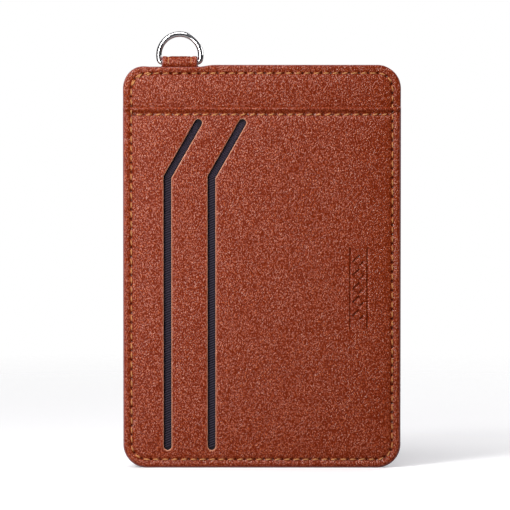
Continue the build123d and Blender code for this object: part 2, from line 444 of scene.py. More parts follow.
def mouth_relief(x, z):
    """The folded mouth: a rounded rim, a swollen fold and the pressed line below it."""
    below = MOUTH - z
    return 0.48 * bell(below - 0.5, 0.7) - 0.30 * bell(below - 1.85, 0.40) - roll(below, 0.7)


MOTIF = (HALF_WIDTH - 12.0, 51.8)  # middle of the pressed row
SUNK = 0.42  # how far the seams pull a pocket panel in


def pocket_relief(x, z):
    """Both pocket panels: rolled outline, seams, folded mouth and swelling."""
    depth = outline_depth(x, z)
    inset = setting("thread", "inset")
    relief = mouth_relief(x, z) - roll(depth, setting("leather", "roll")) + unevenness(x, z) - SUNK
    relief += 0.20 * bell(depth - 1.15, 0.6)
    relief += swell(np.minimum(depth - inset, MOUTH - z - setting("thread", "mouth_inset")))
    relief -= seam_relief(x, z, perimeter_seam(), True)
    return relief - seam_relief(x, z, mouth_seam(), False)


def front_relief(x, z):
    """The front pocket panel, with slot lips and the pressed motif."""
    distance = slot_distance(x, z)
    relief = pocket_relief(x, z) - roll(distance, setting("leather", "lip"))
    relief -= 0.10 * bell(np.maximum(distance, 0), 1.5)
    return relief - 0.42 * motif_mask(x, z)


def window_relief(x, z):
    """The back pocket panel, with the window's lip and seam."""
    distance = window_distance(x, z)
    relief = pocket_relief(x, z) - roll(distance, setting("leather", "lip"))
    relief -= 0.16 * bell(np.maximum(distance, 0), 2.4)
    return relief - seam_relief(x, z, window_seam(), True)


def tab_push(x, z):
    """How the tab between the halves pushes the top edge outwards."""
    across = np.exp(-(((x - RING_X) / 7.6) ** 4))
    return 0.62 * across * smooth_step((z - TOP + 3.6) / 3.2)


def band_relief(x, z):
    """The body panels where they show above the pocket mouths."""
    depth = outline_depth(x, z)
    relief = 0.5 * np.sin(np.clip((z - MOUTH + 0.4) / 8.6, 0, 1) * math.pi * 0.62) - roll(depth, 0.42)
    relief += unevenness(x, z) - 0.3
    relief += 0.34 * (1 - np.exp(-np.maximum(depth - setting("thread", "inset"), 0) / 2.2))
    relief += 0.10 * bell(depth - 1.15, 0.6)
    relief -= seam_relief(x, z, perimeter_seam(), True)
    return relief + tab_push(x, z)


def top_dip(x, z):
    """Lowers the top edge gently where the ring comes out."""
    across = np.exp(-(((x - RING_X) / np.where(x < RING_X, 11.5, 7.8)) ** 6))
    return 0.62 * across * smooth_step((z - TOP + 4.0) / 4.0)


# ---- meshes ----------------------------------------------------------------------------
def mesh_object(name, vertices, faces, material, smooth=True):
    """A mesh object from vertices in millimetres."""
    mesh = bpy.data.meshes.new(name)
    mesh.from_pydata((np.asarray(vertices, float) * MM).tolist(), [], faces)
    mesh.validate()
    mesh.shade_smooth() if smooth else mesh.shade_flat()
    mesh.materials.append(material)
    piece = bpy.data.objects.new(name, mesh)
    bpy.context.scene.collection.objects.link(piece)
    return piece


def hex_points(spacing, low, high):
    """Points of a triangular grid that fill a rectangle."""
    rows = np.arange(low[1], high[1], spacing * math.sqrt(3) / 2)
    points = []
    for k, z in enumerate(rows):
        x = np.arange(low[0] + (k % 2) * spacing / 2, high[0], spacing)
        points.append(np.column_stack([x, np.full(len(x), z)]))
    return np.vstack(points)


def seam_rows(points, closed, offsets, step):
    """Rows of points beside a seam, close enough to shape its needle holes."""
    total = arc_length(points, closed)[-1]
    distances = np.arange(0, total, step)
    middle = along(points, distances, closed)
    ahead = along(points, (distances + 0.05) % total if closed else distances + 0.05, closed)
    back = along(points, (distances - 0.05) % total if closed else distances - 0.05, closed)
    run = ahead - back
    run /= np.maximum(np.hypot(*run.T), 1e-9)[:, None]
    side = np.column_stack([-run[:, 1], run[:, 0]])
    return np.vstack([middle + offset * side for offset in offsets])


def triangulated(loops, extra, keep):
    """Triangles over the points, with the loops as edges, where keep says there is leather."""
    points, edges, ranges = [], [], []
    for loop in loops:
        first = len(points)
        points += [Vector(p) for p in loop]
        ranges.append((first, len(points)))
        edges += [(k, k + 1) for k in range(first, len(points) - 1)] + [(len(points) - 1, first)]
    points += [Vector(p) for p in extra]
    made, _, faces, origin, _, _ = delaunay_2d_cdt(points, edges, [], 0, 1e-5)
    made = np.array([tuple(p) for p in made])
    faces = np.array(faces)
    middle = made[faces].mean(axis=1)
    faces = faces[keep(middle[:, 0], middle[:, 1])]
    place = {old: new for new, olds in enumerate(origin) for old in olds}
    return made, faces, [[place[k] for k in range(*r)] for r in ranges]


def leather_sheet(name, side, face, back, relief, loops, extra, keep, material, warp=None, push=None):
    """A leather panel: a finely shaped face, a flat back and walls round every edge."""
    top, top_faces, top_loops = triangulated(loops, extra, keep)
    near = extra[push(*extra.T) > 0.005][::2] if push else np.zeros((0, 2))
    low, low_faces, low_loops = triangulated(loops, near, keep)
    height = face + relief(top[:, 0], top[:, 1])
    height = np.maximum(height, back + 0.12)
    upper = np.column_stack([top[:, 0], side * height, top[:, 1]])
    under = back + (push(*low.T) if push else np.zeros(len(low)))
    lower = np.column_stack([low[:, 0], side * under, low[:, 1]])
    vertices = np.vstack([upper, lower])
    first = len(upper)
    faces = [tuple(f) for f in top_faces] + [tuple(first + k for k in f[::-1]) for f in low_faces]
    for above, below in zip(top_loops, low_loops):
        count = len(above)
        for k in range(count):
            after = (k + 1) % count
            faces.append((above[k], first + below[k], first + below[after], above[after]))
    if side == BACK:
        faces = [f[::-1] for f in faces]
    if warp is not None:
        vertices[:, 2] -= warp(vertices[:, 0], vertices[:, 2])
    used = sorted({k for f in faces for k in f})
    renumber = {old: new for new, old in enumerate(used)}
    piece = mesh_object(name, vertices[used], [tuple(renumber[k] for k in f) for f in faces], material)
    return outward(piece)


def mark(piece, name, values):
    """Stores one number per vertex for the material to read."""
    attribute = piece.data.attributes.new(name, "FLOAT", "POINT")
    attribute.data.foreach_set("value", np.asarray(values, np.float32))


def corners_of(piece):
    """Vertices of a piece in millimetres."""
    flat = np.zeros(len(piece.data.vertices) * 3, np.float32)
    piece.data.vertices.foreach_get("co", flat)
    return flat.reshape(-1, 3).astype(float) / MM


def ring_faces(count, width, closed):
    """Faces between rings of vertices that follow each other, capped at both ends if open."""
    faces = []
    for k in range(count if closed else count - 1):
        after = (k + 1) % count
        for j in range(width):
            beside = (j + 1) % width
            faces.append((k * width + j, k * width + beside, after * width + beside, after * width + j))
    if not closed:
        faces += [tuple(reversed(range(width))), tuple((count - 1) * width + j for j in range(width))]
    return faces


def swept(name, path, profile, material):
    """A profile of (inset, y) points carried along an open path, with its ends capped."""
    run = np.gradient(path, axis=0)
    run /= np.hypot(*run.T)[:, None]
    inward = np.column_stack([-run[:, 1], run[:, 0]])
    rings = []
    for d, y in profile:
        x, z = (path + d * inward).T
        rings.append(np.column_stack([x, np.full(len(path), y), z]))
    vertices = np.stack(rings, axis=1).reshape(-1, 3)
    return outward(mesh_object(name, vertices, ring_faces(len(path), len(profile), False), material))


def outward(piece):
    """Turns every face of a closed piece outwards."""
    work = bmesh.new()
    work.from_mesh(piece.data)
    bmesh.ops.remove_doubles(work, verts=work.verts, dist=1e-8)
    bmesh.ops.recalc_face_normals(work, faces=work.faces)
    work.to_mesh(piece.data)
    work.free()
    piece.data.update()
    return piece


def plate(name, side, inner, outer, inset, material, top=None, left=None):
    """A flat sheet with the holder's outline, for a lining or a board."""
    loop = outline_loop(inset, 2.0, top)
    if left is not None:
        loop = np.column_stack([np.maximum(loop[:, 0], left), loop[:, 1]])
        loop = loop[np.r_[True, np.hypot(*np.diff(loop, axis=0).T) > 1e-6]]
    count = len(loop)
    near = np.column_stack([loop[:, 0], np.full(count, side * outer), loop[:, 1]])
    far = np.column_stack([loop[:, 0], np.full(count, side * inner), loop[:, 1]])
    faces = [tuple(range(count)), tuple(range(2 * count - 1, count - 1, -1))]
    faces += [(k, count + k, count + (k + 1) % count, (k + 1) % count) for k in range(count)]
    return outward(mesh_object(name, np.vstack([near, far]), faces, material, smooth=False))


def tube_mesh(name, path, sides, section, material, closed):
    """A tube along a path of (x, y, z) points whose section is asked for ring by ring.

    section(k) gives the ring's own two directions, half widths and the lobes' height and turn.
    """
    vertices = []
    turns = np.arange(sides) * 2 * math.pi / sides
    for k, point in enumerate(path):
        across, out, half_across, half_out, lobe, turn = section(k)
        swollen = 1 + lobe * np.cos(2 * (turns - turn))
        vertices.append(
            point
            + np.outer(np.cos(turns) * swollen * half_across, across)
            + np.outer(np.sin(turns) * swollen * half_out, out)
        )
    faces = ring_faces(len(path), sides, closed)
    return outward(mesh_object(name, np.vstack(vertices), faces, material))


# ---- materials -------------------------------------------------------------------------
class Nodes:
    """A short way to place and join the nodes of one material."""

    def __init__(self, name):
        self.material = bpy.data.materials.new(name)
        self.material.use_nodes = True
        self.tree = self.material.node_tree
        self.tree.nodes.clear()
        self.output = self.tree.nodes.new("ShaderNodeOutputMaterial")
        self.shader = self.tree.nodes.new("ShaderNodeBsdfPrincipled")
        self.join(self.shader.outputs[0], self.output.inputs["Surface"])
        self.place = self.add("ShaderNodeTexCoord").outputs["Object"]

    def add(self, kind, values=None, **settings):
        """A node with its settings and its sockets' values, which may be other sockets."""
        node = self.tree.nodes.new(kind)
        for key, value in settings.items():
            setattr(node, key, value)
        for key, value in (values or {}).items():
            self.put(node.inputs[key], value)
        return node

    def put(self, socket, value):
        """Joins a socket to another one, or sets its value."""
        if isinstance(value, bpy.types.NodeSocket):
            self.join(value, socket)
        else:
            socket.default_value = value

    def join(self, start, end):
        """Joins two sockets."""
        self.tree.links.new(start, end)

    def shade(self, **values):
        """Sets the shader's sockets by their names, with spaces for underscores."""
        for key, value in values.items():
            self.put(self.shader.inputs[key.replace("_", " ")], value)

    def mapped(self, scale=(1, 1, 1), rotation=(0, 0, 0), place=None):
        """Object coordinates, turned and stretched."""
        node = self.add("ShaderNodeMapping", {"Vector": place or self.place})
        node.inputs["Scale"].default_value = scale
        node.inputs["Rotation"].default_value = rotation
        return node.outputs["Vector"]

    def noise(self, scale, detail=2.0, roughness=0.5, place=None, distortion=0.0):
        """Noise with features of about one over scale metres."""
        return self.add("ShaderNodeTexNoise", {
            "Vector": place or self.place, "Scale": scale, "Detail": detail,
            "Roughness": roughness, "Distortion": distortion,
        }).outputs["Fac"]

    def cells(self, scale, place, smoothness):
        """Distance from the middles of rounded cells."""
        return self.add("ShaderNodeTexVoronoi", {
            "Vector": place, "Scale": scale, "Smoothness": smoothness,
        }, feature="SMOOTH_F1").outputs["Distance"]

    def math(self, operation, first, second):
        """One sum of two values or sockets."""
        return self.add("ShaderNodeMath", {0: first, 1: second}, operation=operation).outputs[0]

    def spread(self, value, low, high, to_low=0.0, to_high=1.0):
        """Maps a value from one range to another, clamped."""
        return self.add("ShaderNodeMapRange", {
            "Value": value, "From Min": low, "From Max": high, "To Min": to_low, "To Max": to_high,
        }).outputs["Result"]

    def mix(self, share, first, second):
        """A mix of two colours."""
        node = self.add("ShaderNodeMix", data_type="RGBA")
        self.put(node.inputs["Factor"], share)
        for socket, value in ((node.inputs[6], first), (node.inputs[7], second)):
            self.put(socket, value if isinstance(value, bpy.types.NodeSocket) else (*value, 1.0))
        return node.outputs[2]

    def stored(self, name):
        """A number stored on the piece's vertices."""
        return self.add("ShaderNodeAttribute", attribute_name=name).outputs["Fac"]

    def bump(self, height, distance, strength=1.0, under=None):
        """A bump from a height, on top of another one."""
        node = self.add("ShaderNodeBump", {"Height": height, "Distance": distance, "Strength": strength})
        if under is not None:
            self.join(under, node.inputs["Normal"])
        return node.outputs["Normal"]


def leather_material():
    """Fine pebbled leather: grain, wrinkles, mottling, painted outline and cut slot edges, with painted
    shade in the creases and needle holes and a painted highlight on the grain's tops.
    """
    n = Nodes("brown_leather")
    per_pebble = 1 / (setting("leather", "grain") * MM)
    bent = n.add("ShaderNodeVectorMath", operation="ADD")
    n.join(n.place, bent.inputs[0])
    shift = n.add("ShaderNodeVectorMath", operation="SCALE")
    swirl = n.add("ShaderNodeTexNoise", {"Vector": n.place, "Scale": 900.0, "Detail": 2.0})
    n.join(swirl.outputs["Color"], shift.inputs[0])
    shift.inputs["Scale"].default_value = 0.0009
    n.join(shift.outputs[0], bent.inputs[1])
    skewed = n.mapped((1.0, 1.0, 0.8), (0.0, math.radians(24), 0.0), bent.outputs[0])
    pebbles = n.cells(per_pebble, skewed, 0.3)
    blobs = n.noise(per_pebble * 1.15, 2.0, 0.55, skewed, 0.4)
    wrinkle = n.noise(420.0, 4.0, 0.62, n.mapped((1.0, 1.0, 0.5), (0.0, math.radians(38), 0.0)), 1.2)
    height = n.math("ADD", n.math("MULTIPLY", pebbles, -0.70), n.math("MULTIPLY", blobs, 0.30))
    height = n.math("ADD", height, n.math("MULTIPLY", wrinkle, 0.10))
    deep = n.spread(height, -0.24, 0.04)
    patches = n.noise(55.0, 4.0, 0.6)
    cloud = n.noise(16.0, 2.0, 0.5)
    # The creases take the darker colour, partly the leather's tone and partly painted shade, with random
    # patches.
    tone = n.math("MULTIPLY", deep, n.spread(patches, 0.3, 0.7, 0.92, 1.05))
    top = setting_value("leather", "colour")
    crease_shade = setting_value("leather", "crease_shade")
    # Painted highlight: the highest tops of the grain are mixed towards the glint colour.
    glinting = n.math("MULTIPLY", n.spread(height, 0.0, 0.12), 0.5)
    grain_with_painted_light = n.mix(glinting, n.mix(tone, crease_shade[:], top[:]), setting_value("leather", "shine")[:])
    rich = n.mix(n.spread(cloud, 0.35, 0.7, 0.0, 0.15), grain_with_painted_light, tuple(c * 0.72 for c in top))
    raw = n.math("MULTIPLY", n.stored("raw_edge"), n.spread(n.noise(900.0, 3.0), 0.3, 0.7, 0.75, 1.0))
    # Painted shade: the needle holes are painted nearly black.
    hole_shaded = n.mix(n.math("MULTIPLY", n.stored("pierced"), 0.8), rich, tuple(c * 0.04 for c in top))
    cut = n.mix(raw, hole_shaded, setting_value("leather", "raw")[:])
    frayed = n.math("ADD", n.stored("painted_edge"), n.spread(n.noise(600.0, 3.0), 0.2, 0.8, -0.16, 0.16))
    painted = n.spread(frayed, 0.42, 0.6)
    n.shade(Base_Color=n.mix(painted, cut, setting_value("leather", "paint")[:]))
    rough = n.math("ADD", n.spread(deep, 0.0, 1.0, 0.36, 0.25), n.spread(patches, 0.3, 0.7, -0.05, 0.05))
    n.shade(Roughness=n.math("SUBTRACT", rough, n.math("MULTIPLY", painted, 0.12)))
    n.shade(Specular_IOR_Level=n.spread(deep, 0.1, 0.8, 0.12, 0.8))
    smoother = n.math("SUBTRACT", 1.0, n.math("MULTIPLY", painted, 0.85))
    grain = n.bump(n.math("MULTIPLY", height, smoother), 0.00024, 1.0)
    n.shade(Normal=n.bump(n.noise(5200.0, 2.0), 0.000012, 0.5, grain))
    return n.material


def paint_material():
    """Glossy edge paint, with the joints of the layers showing through."""
    n = Nodes("edge_paint")
    base = setting_value("leather", "paint")[:]
    layers = n.noise(1.0, 3.0, 0.6, n.mapped((260.0, 5200.0, 260.0)))
    n.shade(Base_Color=n.mix(n.spread(layers, 0.35, 0.65), base, tuple(c * 0.55 for c in base)))
    n.shade(Roughness=n.spread(n.noise(900.0, 3.0), 0.3, 0.7, 0.34, 0.52))
    n.shade(Normal=n.bump(layers, 0.00009, 0.7, n.bump(n.noise(1500.0, 3.0), 0.00003, 0.6)))
    return n.material


def thread_material():
    """Waxed thread with its twist and fibres."""
    n = Nodes("tan_thread")
    base = setting_value("thread", "colour")[:]
    fibre = n.noise(2600.0, 4.0, 0.7)
    patch = n.noise(240.0, 2.0)
    shaded = n.mix(n.spread(fibre, 0.3, 0.7), tuple(c * 0.55 for c in base), base)
    n.shade(Base_Color=n.mix(n.spread(patch, 0.35, 0.7, 0.0, 0.6), shaded, tuple(c * 0.6 for c in base)))
    n.shade(Roughness=n.spread(fibre, 0.2, 0.8, 0.5, 0.72))
    n.shade(Specular_IOR_Level=0.3)
    n.shade(Normal=n.bump(fibre, 0.00004, 0.8))
    return n.material


def twill_material():
    """Near-black lining with its fine threads; its ribs are painted lighter as their lit tops and the cloth
    off the ribs darker as painted shade.
    """
    n = Nodes("lining_twill")
    base = setting_value("cloth", "colour")[:]
    weft = n.noise(1.0, 3.0, 0.6, n.mapped((9000.0, 2000.0, 2200.0), (0.0, math.radians(-22), 0.0)))
    dull, bright = (tuple(min(1.0, c * gain) for c in base) for gain in (2.0, 9))
    rib_weave_and_sheen = n.mix(n.spread(weft, 0.3, 0.7), dull, bright)
    # Painted light: the ribs take the lighter weave colours as their lit tops; the rest of the cloth gets a
    # fifth of its colour as painted shade.
    n.shade(Base_Color=n.mix(n.stored("on_rib"), tuple(c * 0.2 for c in base), rib_weave_and_sheen))
    n.shade(Roughness=n.spread(weft, 0.2, 0.8, 0.55, 0.8))
    n.shade(Specular_IOR_Level=0.35, Specular_Tint=(0.85, 0.76, 1.0, 1.0))
    n.shade(Normal=n.bump(weft, 0.00012, 0.9))
    return n.material


def board_material():
    """Leather-fibre board, matt and speckled."""
    n = Nodes("stiffener_board")
    base = setting_value("cloth", "board")[:]
    specks = n.noise(1800.0, 5.0, 0.7)
    n.shade(Base_Color=n.mix(n.spread(specks, 0.35, 0.65), tuple(c * 0.5 for c in base), base))
    n.shade(Roughness=0.85, Normal=n.bump(specks, 0.00006, 0.7))
    return n.material


def chrome_material():
    """Polished plating with faint handling marks."""
    n = Nodes("ring_chrome")
    marks = n.noise(900.0, 5.0, 0.7, n.mapped((1.0, 3.0, 1.0)))
    n.shade(Base_Color=(*setting_value("ring", "colour")[:], 1.0), Metallic=1.0)
    n.shade(Roughness=n.spread(marks, 0.3, 0.75, 0.035, 0.13))
    n.shade(Normal=n.bump(n.noise(420.0, 2.0), 0.000018, 0.5))
    return n.material


def film_material():
    """Clear glossy film with light scuffs."""
    n = Nodes("window_film")
    scuffs = n.noise(1.0, 5.0, 0.75, n.mapped((300.0, 300.0, 1400.0), (0.0, 0.5, 0.0)))
    n.shade(Base_Color=(0.93, 0.95, 0.97, 1.0), Transmission_Weight=1.0, IOR=1.38)
    n.shade(Roughness=n.spread(scuffs, 0.45, 0.8, 0.04, 0.2))
    n.shade(Normal=n.bump(n.noise(60.0, 3.0), 0.0005, 0.35))
    return n.material


MAKERS = {
    "leather": leather_material,
    "paint": paint_material,
    "thread": thread_material,
    "twill": twill_material,
    "board": board_material,
    "chrome": chrome_material,
    "film": film_material,
}


def finish_named(name):
    """One of the holder's materials, made the first time it is asked for."""
    if name not in finish_named.made:
        finish_named.made[name] = MAKERS[name]()
    return finish_named.made[name]


finish_named.made = {}


def settle(piece, slot, *nodes, body="holder"):
    """Gives a finished piece its body and hides the CAD nodes that it stands for; the slot argument is not
    used.
    """
    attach(piece, body)
    if nodes:
        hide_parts(*nodes)
    return piece


# ---- leather panels --------------------------------------------------------------------
FACE_STEP = 0.7  # spacing of the points on a leather face
EDGE_INSETS = (0.05, 0.13, 0.25, 0.42, 0.65, 0.95)
LIP_OFFSETS = (0.05, 0.12, 0.22, 0.36, 0.6)
ROW_OFFSETS = (-0.6, -0.4, -0.2, 0.0, 0.2, 0.4, 0.6)
ROW_STEP = 0.22


def pocket_points(clear_of):
    """Points of a pocket panel's face, finer along its edges and seams."""
    rows = [outline_loop(inset, 0.45, MOUTH) for inset in EDGE_INSETS]
    rows.append(seam_rows(perimeter_seam(), True, ROW_OFFSETS, ROW_STEP))
    rows.append(seam_rows(mouth_seam(), False, ROW_OFFSETS, ROW_STEP))
    for below in (1.2, 1.35, 1.5, 1.65):
        ends = [(1.2 - HALF_WIDTH, MOUTH - below), (HALF_WIDTH - 1.2, MOUTH - below)]
        rows.append(subdivided(ends, 0.5, False))
    grid = hex_points(FACE_STEP, (-HALF_WIDTH, 0), (HALF_WIDTH, MOUTH))
    x, z = grid.T
    inset = setting("thread", "inset")
    clear = (outline_depth(x, z) > 1.2) & (np.abs(outline_depth(x, z) - inset) > 0.8)
    clear &= (MOUTH - z > setting("thread", "mouth_inset") + 0.8) & clear_of(x, z)
    points = np.vstack([*rows, grid[clear]])
    x, z = points.T
    return points[(z < MOUTH - 0.04) & (outline_depth(x, z) > 0.04)]


def mark_pocket(piece, raw_distance, *more_seams):
    """Stores where a pocket panel is painted, where painted shade darkens its needle holes, and where it is
    bare along its cut edges.
    """
    x, y, z = corners_of(piece).T
    mark(piece, "pierced", pierced(x, z, (perimeter_seam(), True), (mouth_seam(), False), *more_seams))
    mark(piece, "painted_edge", bell(np.maximum(outline_depth(x, z), 0), 0.48))
    mark(piece, "raw_edge", bell(np.maximum(raw_distance(x, z), 0), 0.22))


class HOLDER_OT_front_pocket(bpy.types.Operator):
    """Makes the front pocket panel with its two slots"""

    bl_idname = "holder.front_pocket"
    bl_label = "Front pocket panel"

    def execute(self, context):
        loops = [outline_loop(0, 0.4, MOUTH)] + [slot_loop(k, 0.0, 0.3) for k in (0, 1)]
        extra = [pocket_points(lambda x, z: slot_distance(x, z) > 0.8)]
        extra += [slot_loop(k, grow, 0.32) for k in (0, 1) for grow in LIP_OFFSETS]
        u = np.arange(-3.2, 3.21, 0.17)
        v = np.arange(-12.4, 12.41, 0.17)
        grid = np.array(np.meshgrid(u, v)).reshape(2, -1).T + MOTIF
        points = np.vstack(extra)
        points = points[slot_distance(*points.T) > 0.03]
        near_motif = (np.abs(points[:, 0] - MOTIF[0]) < 3.4) & (np.abs(points[:, 1] - MOTIF[1]) < 12.6)
        points = np.vstack([points[~near_motif], grid])
        piece = leather_sheet(
            "front_pocket_leather", FRONT, POCKET_FACE, POCKET_BACK, front_relief, loops, points,
            lambda x, z: slot_distance(x, z) > 0, finish_named("leather"),
        )
        mark_pocket(piece, slot_distance)
        settle(piece, "brown_leather", "front_pocket_panel")
        return {"FINISHED"}


class HOLDER_OT_back_pocket(bpy.types.Operator):
    """Makes the back pocket panel with its ID window"""

    bl_idname = "holder.back_pocket"
    bl_label = "Back pocket panel"

    def execute(self, context):
        low, high, radius = window_corners()
        loops = [outline_loop(0, 0.4, MOUTH), rounded_loop(low, high, (radius,) * 4, 0.4)]
        reach = setting("thread", "window_inset") + 0.8
        extra = [pocket_points(lambda x, z: window_distance(x, z) > reach)]
        for grow in LIP_OFFSETS + (0.9,):
            grown_low, grown_high, grown = window_corners(grow)
            extra.append(rounded_loop(grown_low, grown_high, (grown,) * 4, 0.45))
        extra.append(seam_rows(window_seam(), True, ROW_OFFSETS, ROW_STEP))
        piece = leather_sheet(
            "back_pocket_leather", BACK, POCKET_FACE, POCKET_BACK, window_relief, loops, np.vstack(extra),
            lambda x, z: window_distance(x, z) > 0, finish_named("leather"),
        )
        mark_pocket(piece, window_distance, (window_seam(), True))
        settle(piece, "brown_leather", "back_pocket_panel")
        return {"FINISHED"}


def body_points():
    """Points of a body panel's face: fine above the mouth, coarse where the pocket covers it."""
    rows = [outline_loop(inset, 0.45) for inset in EDGE_INSETS[:5]]
    rows.append(seam_rows(perimeter_seam(), True, ROW_OFFSETS, ROW_STEP))
    fine = hex_points(FACE_STEP, (-HALF_WIDTH, MOUTH - 3), (HALF_WIDTH, TOP))
    coarse = hex_points(4.0, (-HALF_WIDTH, 0), (HALF_WIDTH, MOUTH - 4))
    grid = np.vstack([fine, coarse])
    depth, inset = outline_depth(*grid.T), setting("thread", "inset")
    clear = (depth > 1.0) & (np.abs(depth - inset) > 0.8)
    points = np.vstack([*rows, grid[clear]])
    hidden = (points[:, 1] < MOUTH - 3) & (np.abs(outline_depth(*points.T) - inset) < 0.8)
    return points[~hidden]


class HOLDER_OT_body_panels(bpy.types.Operator):
    """Makes the two full height panels, which show as bands above the pocket mouths"""

    bl_idname = "holder.body_panels"
    bl_label = "Body panels"

    def execute(self, context):
        for name, side, node in (
            ("front_band_leather", FRONT, "front_body_panel"),
            ("back_band_leather", BACK, "back_body_panel"),
        ):
            piece = leather_sheet(
                name, side, BODY_FACE, BODY_BACK, body_face_relief, [outline_loop(0, 0.4)], body_points(),
                lambda x, z: x < 1e3, finish_named("leather"), top_dip, tab_push,
            )
            x, y, z = corners_of(piece).T
            mark(piece, "painted_edge", bell(np.maximum(outline_depth(x, z + top_dip(x, z)), 0), 0.26))
            mark(piece, "raw_edge", np.zeros(len(x)))
            # Painted shade in the needle holes of the perimeter seam.
            mark(piece, "pierced", pierced(x, z, (perimeter_seam(), True)))
            settle(piece, "brown_leather", node)
        return {"FINISHED"}


def body_face_relief(x, z):
    """The band's relief, pressed flat where a pocket panel lies on it."""
    shown = smooth_step((z - MOUTH + 2.5) / 1.5)
    return band_relief(x, z) * shown - (1 - shown) * roll(outline_depth(x, z), 0.42)


# ---- linings, boards and painted edges -------------------------------------------------
def layer(name, node, side, slot, inset, recess=0.0):
    """A lining or board a little smaller than its CAD node, so that the painted edge covers it."""
    low, high = box_mm(node)
    near, far = sorted(abs(v) for v in (low[1], high[1]))
    top = high[2] if high[2] < TOP - 0.5 else None
    left = low[0] if low[0] > inset - HALF_WIDTH else None
    material = finish_named("board" if slot == "stiffener_board" else "twill")
    piece = plate(name, side, near + 0.01, far - recess - 0.01, inset, material, top, left)
    return settle(piece, slot, node)


class HOLDER_OT_inner_layers(bpy.types.Operator):
    """Makes the linings, the slot dividers and the stiffener boards"""

    bl_idname = "holder.inner_layers"
    bl_label = "Linings and boards"

    def execute(self, context):
        inset = setting("cloth", "inset")
        layer("centre_lining_front_cloth", "centre_lining_front", FRONT, "lining_twill", inset)
        layer("centre_lining_back_cloth", "centre_lining_back", BACK, "lining_twill", inset)
        layer("front_board", "front_stiffener", FRONT, "stiffener_board", inset)
        layer("back_board", "back_stiffener", BACK, "stiffener_board", inset)
        layer("slot_divider_inner_cloth", "slot_divider_inner", FRONT, "lining_twill", inset, RIB_ROOM)
        layer("slot_divider_outer_cloth", "slot_divider_outer", FRONT, "lining_twill", inset, RIB_ROOM)
        layer("id_pocket_cloth", "id_pocket_lining", BACK, "lining_twill", inset)
        return {"FINISHED"}


RIB_ROOM = 0.16  # depth left under a slot for the ribs of the cloth
TAB_GAP = 5.75  # half the gap in the centre beads where the tab passes


def edge_profile(near, far, room):
    """Section of a painted edge between two depths, as (inset, y) points."""
    return [
        (0.5, near), (0.12 + room, near), (0.05 + room, near * 0.7 + far * 0.3),
        (0.03 + room, (near + far) / 2),
        (0.05 + room, near * 0.3 + far * 0.7), (0.12 + room, far), (0.5, far),
    ]


def open_outline(top, step):
    """The sides and the bottom edge up to a height, as one open line."""
    loop = outline_loop(0, step, top)
    first = int(np.argmin(np.hypot(loop[:, 0] + HALF_WIDTH, loop[:, 1] - top)))
    last = int(np.argmin(np.hypot(loop[:, 0] - HALF_WIDTH, loop[:, 1] - top)))
    return np.vstack([loop[first:], loop[: last + 1]])


def beside_tab(step):
    """The whole outline except the gap where the tab comes out."""
    loop = outline_loop(0, step)
    inside = (np.abs(loop[:, 0] - RING_X) < TAB_GAP) & (loop[:, 1] > TOP - 1)
    first = int(np.flatnonzero(inside)[-1]) + 1
    line = np.roll(loop, -first, axis=0)
    keep = ~((np.abs(line[:, 0] - RING_X) < TAB_GAP) & (line[:, 1] > TOP - 1))
    line = line[keep]
    return np.column_stack([line[:, 0], line[:, 1] - top_dip(line[:, 0], line[:, 1])])


class HOLDER_OT_painted_edges(bpy.types.Operator):
    """Makes the painted edges that close the layers round the outline"""

    bl_idname = "holder.painted_edges"
    bl_label = "Painted edges"

    def execute(self, context):
        for side, word in ((FRONT, "front"), (BACK, "back")):
            for part, path, near, far in (
                ("_centre_edge", beside_tab(0.6), -0.02, BODY_BACK - 0.01),  # both halves meet
                ("_pocket_edge", open_outline(MOUTH - 0.8, 0.6), BODY_FACE - 0.12, POCKET_BACK + 0.12),
            ):
                shape = [(d, side * y) for d, y in edge_profile(near, far, 0.04)]
                settle(swept(word + part, path, shape, finish_named("paint")), "brown_leather")
        return {"FINISHED"}


